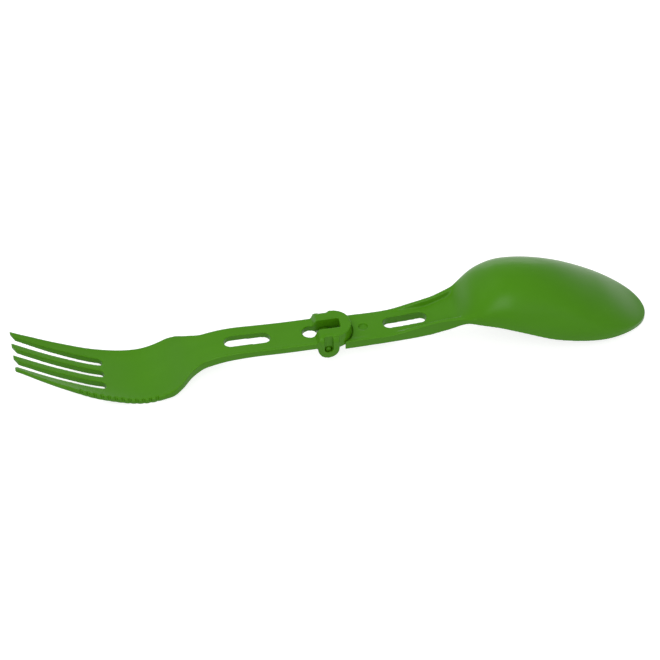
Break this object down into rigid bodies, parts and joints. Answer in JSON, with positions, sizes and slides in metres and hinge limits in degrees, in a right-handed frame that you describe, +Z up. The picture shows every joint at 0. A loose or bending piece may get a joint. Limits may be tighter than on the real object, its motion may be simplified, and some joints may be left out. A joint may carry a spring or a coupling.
{
  "type": "folding spork",
  "caption": "Moulded plastic folding utensil: a fork half with a toothed cutting edge and a spoon half, joined end to end by a hinge pin.",
  "frame": {"origin": "on the surface that the open spork lies on, under the middle of its length and width", "axes": "+X from the fork's tines to the spoon's tip, +Z up, with the fork's hollow side up and the spoon's hollow side down; the fork's teeth face -Y"},
  "size_m": [0.2486, 0.0374, 0.0319],
  "materials": {
    "fork_plastic": "green, satin, moulded",
    "spoon_plastic": "green, satin, moulded",
    "pin_plastic": "green, satin, moulded"
  },
  "bodies": {
    "fork_side": {"fork_half": "fork_plastic", "hinge_pin": "pin_plastic"},
    "spoon_side": {"spoon_half": "spoon_plastic"}
  },
  "joints": [
    {"name": "fold", "type": "hinge", "parent": "fork_side", "child": "spoon_side", "pos_m": [-0.00395, 0, 0.00887], "axis": [0, 1, 0], "range_deg": [0, 180]}
  ]
}
